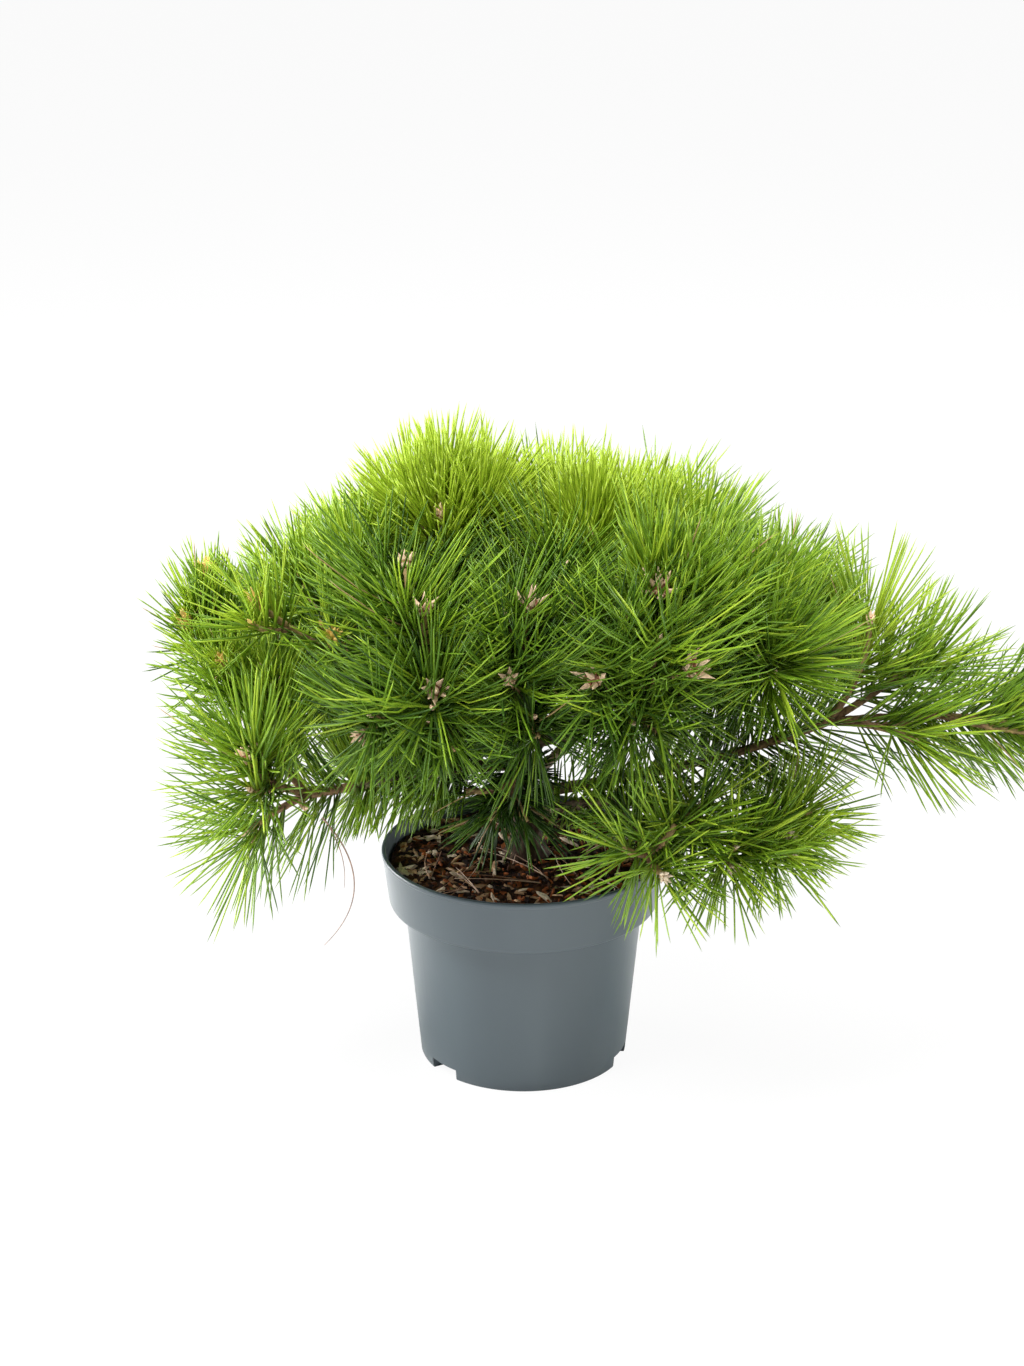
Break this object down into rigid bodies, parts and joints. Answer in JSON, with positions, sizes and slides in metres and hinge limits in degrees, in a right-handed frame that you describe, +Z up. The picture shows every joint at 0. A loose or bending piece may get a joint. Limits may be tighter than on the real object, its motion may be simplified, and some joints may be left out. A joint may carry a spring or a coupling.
{
  "type": "potted dwarf red pine",
  "caption": "Low, spreading dwarf red pine with long needles, in a round plastic nursery pot with a wide collar at its rim.",
  "frame": {"origin": "centre of the flat underside of the pot", "axes": "+Z up; +X to the right seen from the front, along the longest bough; -Y towards the front"},
  "size_m": [0.5946, 0.3935, 0.4188],
  "materials": {
    "pot": "smooth moulded grey-blue plastic, slightly glossy",
    "soil": "moist dark compost with bark chips and fallen needles",
    "bark": "rough grey-brown bark with needle scars",
    "needles": "fresh green needles with a soft sheen"
  },
  "bodies": {
    "root": {"pot": "pot", "soil": "soil", "trunk": "bark", "bough_low_right": "bark", "bough_right": "bark", "bough_low_back_right": "bark", "bough_low_back_left": "bark", "bough_low_left": "bark", "bough_far_left": "bark", "bough_shoulder": "bark", "bough_front": "bark", "bough_back": "bark", "bough_top_left": "bark", "bough_low_inner": "bark", "bough_upper_left": "bark", "bough_back_far_left": "bark", "bough_front_left": "bark", "bough_front_right": "bark", "bough_top_right": "bark", "bough_right_crown": "bark", "bough_right_back": "bark", "bough_back_left": "bark", "bough_back_right": "bark", "bough_skirt": "bark", "foliage_low_left": "needles", "foliage_far_left": "needles", "foliage_upper_left": "needles", "foliage_front_left": "needles", "foliage_front": "needles", "foliage_front_right": "needles", "foliage_right_crown": "needles", "foliage_top_left": "needles", "foliage_top_right": "needles", "foliage_shoulder": "needles", "foliage_right_arm": "needles", "foliage_low_right": "needles", "foliage_low_inner": "needles", "foliage_back_far_left": "needles", "foliage_back_left": "needles", "foliage_back": "needles", "foliage_back_right": "needles", "foliage_right_back": "needles", "foliage_low_back_left": "needles", "foliage_low_back_right": "needles", "foliage_skirt": "needles"}
  },
  "joints": []
}
